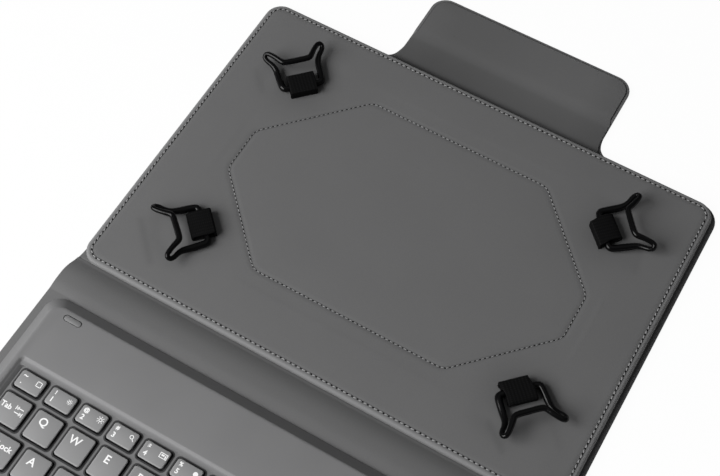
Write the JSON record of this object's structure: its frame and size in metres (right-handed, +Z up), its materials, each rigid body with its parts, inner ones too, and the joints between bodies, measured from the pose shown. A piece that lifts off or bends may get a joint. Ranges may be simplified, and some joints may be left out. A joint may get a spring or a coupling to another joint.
{
  "type": "tablet keyboard case",
  "caption": "Folding tablet case lying open: keyboard in the base, soft spine, padded panel with elastic corner hooks for the tablet, and a closing flap.",
  "frame": {"origin": "middle of the base's underside", "axes": "+X to the typist's right, +Y from the keyboard over the spine and the panel to the flap, +Z up"},
  "size_m": [0.2636, 0.4353, 0.0133],
  "materials": {
    "skin": "fine grain, matt",
    "lining": "fine grain, matt",
    "case": "fine satin",
    "grid": "matt",
    "keycap": "fine satin",
    "hook": "gloss",
    "elastic": "woven",
    "stiff_board": "grey board",
    "steel": "plain",
    "magnet": "plated",
    "silicone": "matt",
    "membrane": "film",
    "circuit": "solder mask",
    "battery": "foil pouch"
  },
  "bodies": {
    "base": {"base_skin": "skin", "base_lining": "lining", "closure_plates": "steel", "bottom_case": "case", "top_case": "case", "case_screws": "steel", "support_plate": "steel", "membrane": "membrane", "dome_sheet": "silicone", "key_grid": "grid", "main_board": "circuit", "battery": "battery", "charging_socket": "steel", "strip_magnets": "magnet"},
    "pairing_button": {"pairing_button": "case"},
    "key_backquote": {"key_backquote": "keycap"},
    "key_1": {"key_1": "keycap"},
    "key_2": {"key_2": "keycap"},
    "key_3": {"key_3": "keycap"},
    "key_4": {"key_4": "keycap"},
    "number_keys_right": {"number_keys_right": "keycap"},
    "key_backspace": {"key_backspace": "keycap"},
    "key_tab": {"key_tab": "keycap"},
    "key_q": {"key_q": "keycap"},
    "key_w_letter": {"key_w_letter": "keycap"},
    "key_e": {"key_e": "keycap"},
    "upper_letter_keys": {"upper_letter_keys": "keycap"},
    "key_caps_lock": {"key_caps_lock": "keycap"},
    "key_a": {"key_a": "keycap"},
    "middle_letter_keys": {"middle_letter_keys": "keycap"},
    "key_enter": {"key_enter": "keycap"},
    "key_shift_left": {"key_shift_left": "keycap"},
    "lower_letter_keys": {"lower_letter_keys": "keycap"},
    "key_shift_right": {"key_shift_right": "keycap"},
    "key_space": {"key_space": "keycap"},
    "modifier_keys": {"modifier_keys": "keycap"},
    "arrow_keys": {"arrow_keys": "keycap"},
    "spine": {"spine_skin": "skin", "spine_lining": "lining"},
    "rear_lower": {"rear_lower_skin": "skin", "rear_lower_board": "stiff_board"},
    "panel": {"rear_upper_skin": "skin", "rear_upper_board": "stiff_board", "panel_board": "stiff_board", "panel_lining": "lining", "panel_magnets": "magnet", "strap_back_left": "elastic", "strap_back_right": "elastic", "strap_front_left": "elastic", "strap_front_right": "elastic"},
    "hook_back_left": {"hook_back_left": "hook"},
    "hook_back_right": {"hook_back_right": "hook"},
    "hook_front_left": {"hook_front_left": "hook"},
    "hook_front_right": {"hook_front_right": "hook"},
    "flap_gusset": {"gusset_skin": "skin", "gusset_lining": "lining"},
    "flap_plate": {"flap_skin": "skin", "flap_board": "stiff_board", "flap_lining": "lining", "flap_magnets": "magnet"}
  },
  "joints": [
    {"name": "base_fold", "type": "hinge", "parent": "base", "child": "spine", "pos_m": [0, 0.0913, 0.0008], "axis": [1, 0, 0], "range_deg": [0, 90]},
    {"name": "spine_fold", "type": "hinge", "parent": "spine", "child": "rear_lower", "pos_m": [0, 0.1107, 0.0008], "axis": [1, 0, 0], "range_deg": [0, 90]},
    {"name": "stand_fold", "type": "hinge", "parent": "rear_lower", "child": "panel", "pos_m": [0, 0.2027, 0.0008], "axis": [1, 0, 0], "range_deg": [-60, 0]},
    {"name": "flap_fold", "type": "hinge", "parent": "panel", "child": "flap_gusset", "pos_m": [0, 0.2949, 0.0008], "axis": [1, 0, 0], "range_deg": [0, 90]},
    {"name": "flap_tip_fold", "type": "hinge", "parent": "flap_gusset", "child": "flap_plate", "pos_m": [0, 0.3164, 0.0008], "axis": [1, 0, 0], "range_deg": [0, 90]},
    {"name": "hook_back_left_stretch", "type": "slide", "parent": "panel", "child": "hook_back_left", "axis": [-0.7071, 0.7071, 0], "range_m": [0, 0.022], "stiffness_N_per_m": 120, "springref_m": -0.001, "deforming": ["strap_back_left"]},
    {"name": "hook_back_right_stretch", "type": "slide", "parent": "panel", "child": "hook_back_right", "axis": [0.7071, 0.7071, 0], "range_m": [0, 0.022], "stiffness_N_per_m": 120, "springref_m": -0.001, "deforming": ["strap_back_right"]},
    {"name": "hook_front_left_stretch", "type": "slide", "parent": "panel", "child": "hook_front_left", "axis": [-0.7071, -0.7071, 0], "range_m": [0, 0.022], "stiffness_N_per_m": 120, "springref_m": -0.001, "deforming": ["strap_front_left"]},
    {"name": "hook_front_right_stretch", "type": "slide", "parent": "panel", "child": "hook_front_right", "axis": [0.7071, -0.7071, 0], "range_m": [0, 0.022], "stiffness_N_per_m": 120, "springref_m": -0.001, "deforming": ["strap_front_right"]},
    {"name": "key_backquote_press", "type": "slide", "parent": "base", "child": "key_backquote", "axis": [0, 0, -1], "range_m": [0, 0.0015], "stiffness_N_per_m": 350, "springref_m": -0.0003, "deforming": ["dome_sheet"]},
    {"name": "key_1_press", "type": "slide", "parent": "base", "child": "key_1", "axis": [0, 0, -1], "range_m": [0, 0.0015], "stiffness_N_per_m": 350, "springref_m": -0.0003, "deforming": ["dome_sheet"]},
    {"name": "key_2_press", "type": "slide", "parent": "base", "child": "key_2", "axis": [0, 0, -1], "range_m": [0, 0.0015], "stiffness_N_per_m": 350, "springref_m": -0.0003, "deforming": ["dome_sheet"]},
    {"name": "key_3_press", "type": "slide", "parent": "base", "child": "key_3", "axis": [0, 0, -1], "range_m": [0, 0.0015], "stiffness_N_per_m": 350, "springref_m": -0.0003, "deforming": ["dome_sheet"]},
    {"name": "key_4_press", "type": "slide", "parent": "base", "child": "key_4", "axis": [0, 0, -1], "range_m": [0, 0.0015], "stiffness_N_per_m": 350, "springref_m": -0.0003, "deforming": ["dome_sheet"]},
    {"name": "number_keys_right_press", "type": "slide", "parent": "base", "child": "number_keys_right", "axis": [0, 0, -1], "range_m": [0, 0.0015], "stiffness_N_per_m": 350, "springref_m": -0.0003, "deforming": ["dome_sheet"]},
    {"name": "key_backspace_press", "type": "slide", "parent": "base", "child": "key_backspace", "axis": [0, 0, -1], "range_m": [0, 0.0015], "stiffness_N_per_m": 350, "springref_m": -0.0003, "deforming": ["dome_sheet"]},
    {"name": "key_tab_press", "type": "slide", "parent": "base", "child": "key_tab", "axis": [0, 0, -1], "range_m": [0, 0.0015], "stiffness_N_per_m": 350, "springref_m": -0.0003, "deforming": ["dome_sheet"]},
    {"name": "key_q_press", "type": "slide", "parent": "base", "child": "key_q", "axis": [0, 0, -1], "range_m": [0, 0.0015], "stiffness_N_per_m": 350, "springref_m": -0.0003, "deforming": ["dome_sheet"]},
    {"name": "key_w_letter_press", "type": "slide", "parent": "base", "child": "key_w_letter", "axis": [0, 0, -1], "range_m": [0, 0.0015], "stiffness_N_per_m": 350, "springref_m": -0.0003, "deforming": ["dome_sheet"]},
    {"name": "key_e_press", "type": "slide", "parent": "base", "child": "key_e", "axis": [0, 0, -1], "range_m": [0, 0.0015], "stiffness_N_per_m": 350, "springref_m": -0.0003, "deforming": ["dome_sheet"]},
    {"name": "upper_letter_keys_press", "type": "slide", "parent": "base", "child": "upper_letter_keys", "axis": [0, 0, -1], "range_m": [0, 0.0015], "stiffness_N_per_m": 350, "springref_m": -0.0003, "deforming": ["dome_sheet"]},
    {"name": "key_caps_lock_press", "type": "slide", "parent": "base", "child": "key_caps_lock", "axis": [0, 0, -1], "range_m": [0, 0.0015], "stiffness_N_per_m": 350, "springref_m": -0.0003, "deforming": ["dome_sheet"]},
    {"name": "key_a_press", "type": "slide", "parent": "base", "child": "key_a", "axis": [0, 0, -1], "range_m": [0, 0.0015], "stiffness_N_per_m": 350, "springref_m": -0.0003, "deforming": ["dome_sheet"]},
    {"name": "middle_letter_keys_press", "type": "slide", "parent": "base", "child": "middle_letter_keys", "axis": [0, 0, -1], "range_m": [0, 0.0015], "stiffness_N_per_m": 350, "springref_m": -0.0003, "deforming": ["dome_sheet"]},
    {"name": "key_enter_press", "type": "slide", "parent": "base", "child": "key_enter", "axis": [0, 0, -1], "range_m": [0, 0.0015], "stiffness_N_per_m": 350, "springref_m": -0.0003, "deforming": ["dome_sheet"]},
    {"name": "key_shift_left_press", "type": "slide", "parent": "base", "child": "key_shift_left", "axis": [0, 0, -1], "range_m": [0, 0.0015], "stiffness_N_per_m": 350, "springref_m": -0.0003, "deforming": ["dome_sheet"]},
    {"name": "lower_letter_keys_press", "type": "slide", "parent": "base", "child": "lower_letter_keys", "axis": [0, 0, -1], "range_m": [0, 0.0015], "stiffness_N_per_m": 350, "springref_m": -0.0003, "deforming": ["dome_sheet"]},
    {"name": "key_shift_right_press", "type": "slide", "parent": "base", "child": "key_shift_right", "axis": [0, 0, -1], "range_m": [0, 0.0015], "stiffness_N_per_m": 350, "springref_m": -0.0003, "deforming": ["dome_sheet"]},
    {"name": "key_space_press", "type": "slide", "parent": "base", "child": "key_space", "axis": [0, 0, -1], "range_m": [0, 0.0015], "stiffness_N_per_m": 350, "springref_m": -0.0003, "deforming": ["dome_sheet"]},
    {"name": "modifier_keys_press", "type": "slide", "parent": "base", "child": "modifier_keys", "axis": [0, 0, -1], "range_m": [0, 0.0015], "stiffness_N_per_m": 350, "springref_m": -0.0003, "deforming": ["dome_sheet"]},
    {"name": "arrow_keys_press", "type": "slide", "parent": "base", "child": "arrow_keys", "axis": [0, 0, -1], "range_m": [0, 0.0015], "stiffness_N_per_m": 350, "springref_m": -0.0003, "deforming": ["dome_sheet"]},
    {"name": "pairing_button_press", "type": "slide", "parent": "base", "child": "pairing_button", "axis": [0, 0, -1], "range_m": [0, 0.0005], "stiffness_N_per_m": 900, "springref_m": -0.0002}
  ]
}
